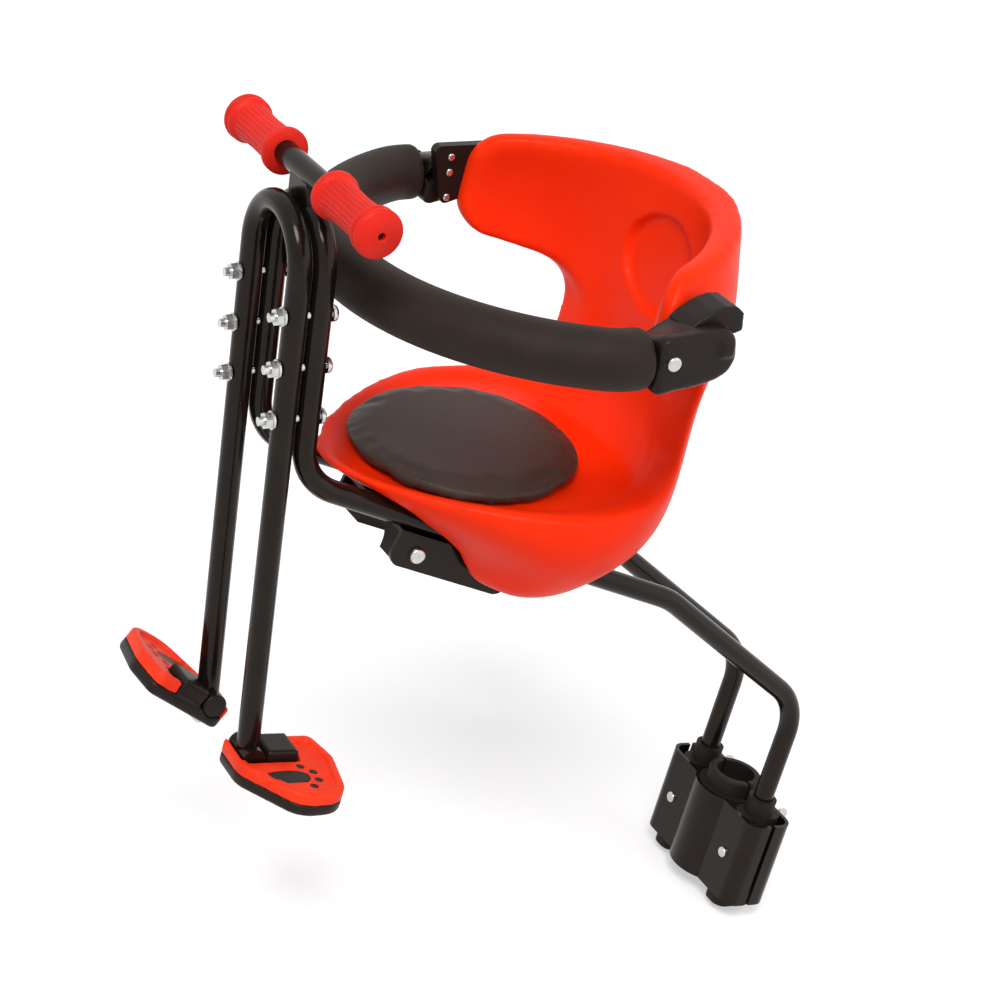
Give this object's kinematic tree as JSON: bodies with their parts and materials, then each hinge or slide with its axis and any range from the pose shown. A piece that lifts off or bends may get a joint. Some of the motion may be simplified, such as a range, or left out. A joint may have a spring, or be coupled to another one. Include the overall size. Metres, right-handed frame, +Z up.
{
  "type": "front child seat for a bicycle",
  "caption": "Child seat that clamps to a bicycle's seat tube ahead of the saddle, with a padded bucket, foam guard rail, small handlebar and footrest pedals on a bent tube frame.",
  "frame": {"origin": "on the axis of the bicycle's seat tube, at the middle height of the clamp plates", "axes": "+X forward towards the bicycle's front, +Y to the rider's left, +Z up along the seat tube"},
  "size_m": [0.5706, 0.3692, 0.587],
  "materials": {
    "black_paint": "gloss black powder coat on steel",
    "zinc_steel": "bright zinc-plated steel",
    "seat_plastic": "semi-gloss orange-red moulded plastic",
    "pad_cover": "soft black artificial leather over foam",
    "foam": "fine dark closed-cell foam",
    "grip_rubber": "satin red rubber",
    "tread_plastic": "satin orange-red plastic",
    "black_plastic": "satin black moulded plastic",
    "black_rubber": "matt black rubber"
  },
  "bodies": {
    "root": {"clamp_front_plate": "black_paint", "clamp_liner_front": "black_rubber", "clamp_liner_rear": "black_rubber", "clamp_rear_plate": "black_paint", "clamp_screws": "zinc_steel", "clamp_sleeve_left": "black_rubber", "clamp_sleeve_right": "black_rubber", "clamp_wing_nuts": "zinc_steel", "cradle_bracket": "black_paint", "cradle_pad": "black_rubber", "cradle_screws": "zinc_steel", "footrest_frame": "black_paint", "frame_bolts": "zinc_steel", "frame_nuts": "zinc_steel", "frame_washers": "zinc_steel", "grip_left": "grip_rubber", "grip_right": "grip_rubber", "guard_bolts": "zinc_steel", "guard_clamp_left": "black_plastic", "guard_clamp_right": "black_plastic", "guard_foam": "foam", "guard_hook_left": "black_plastic", "guard_hook_right": "black_plastic", "guard_plate_left": "black_plastic", "guard_plate_right": "black_plastic", "guard_plate_screws": "zinc_steel", "guard_tube": "black_paint", "handlebar": "black_paint", "handlebar_saddle": "black_paint", "main_frame": "black_paint", "pedal_barrel_caps": "black_plastic", "pedal_barrel_left": "black_paint", "pedal_barrel_right": "black_paint", "pedal_base_left": "black_plastic", "pedal_base_right": "black_plastic", "pedal_screws": "zinc_steel", "pedal_tread_left": "tread_plastic", "pedal_tread_right": "tread_plastic", "seat_bolts": "zinc_steel", "seat_cross_bar_front": "black_paint", "seat_cross_bar_rear": "black_paint", "seat_pad": "pad_cover", "seat_shell": "seat_plastic", "tube_end_caps": "black_plastic"}
  },
  "joints": []
}
